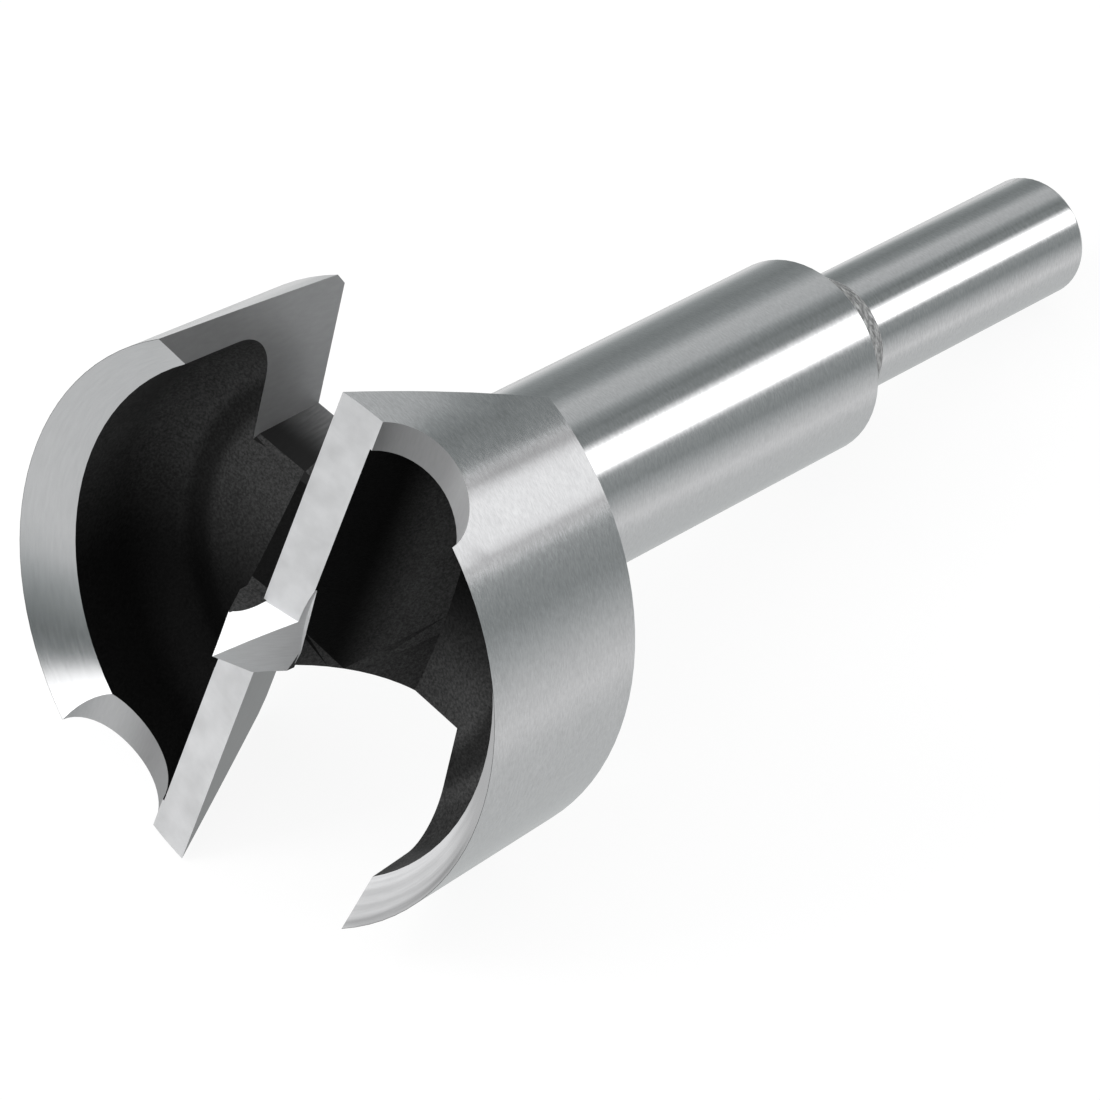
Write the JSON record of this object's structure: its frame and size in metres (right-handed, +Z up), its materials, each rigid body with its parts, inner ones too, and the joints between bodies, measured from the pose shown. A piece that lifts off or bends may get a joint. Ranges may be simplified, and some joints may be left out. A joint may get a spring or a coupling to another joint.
{
  "type": "forstner bit",
  "caption": "Forstner bit with a cupped cutting head, centre point, long neck and round shank; bores flat-bottomed holes in wood.",
  "frame": {"origin": "on the table under the middle of the bit as it lies at rest, at the centre of its bounding box's bottom", "axes": "+X horizontal, from the cutting head towards the shank; +Z up; the bit's own axis dips 10.2 degrees towards the shank"},
  "size_m": [0.1012, 0.045, 0.0441],
  "materials": {
    "steel": "satin"
  },
  "bodies": {
    "root": {"forstner_bit": "steel"}
  },
  "joints": []
}
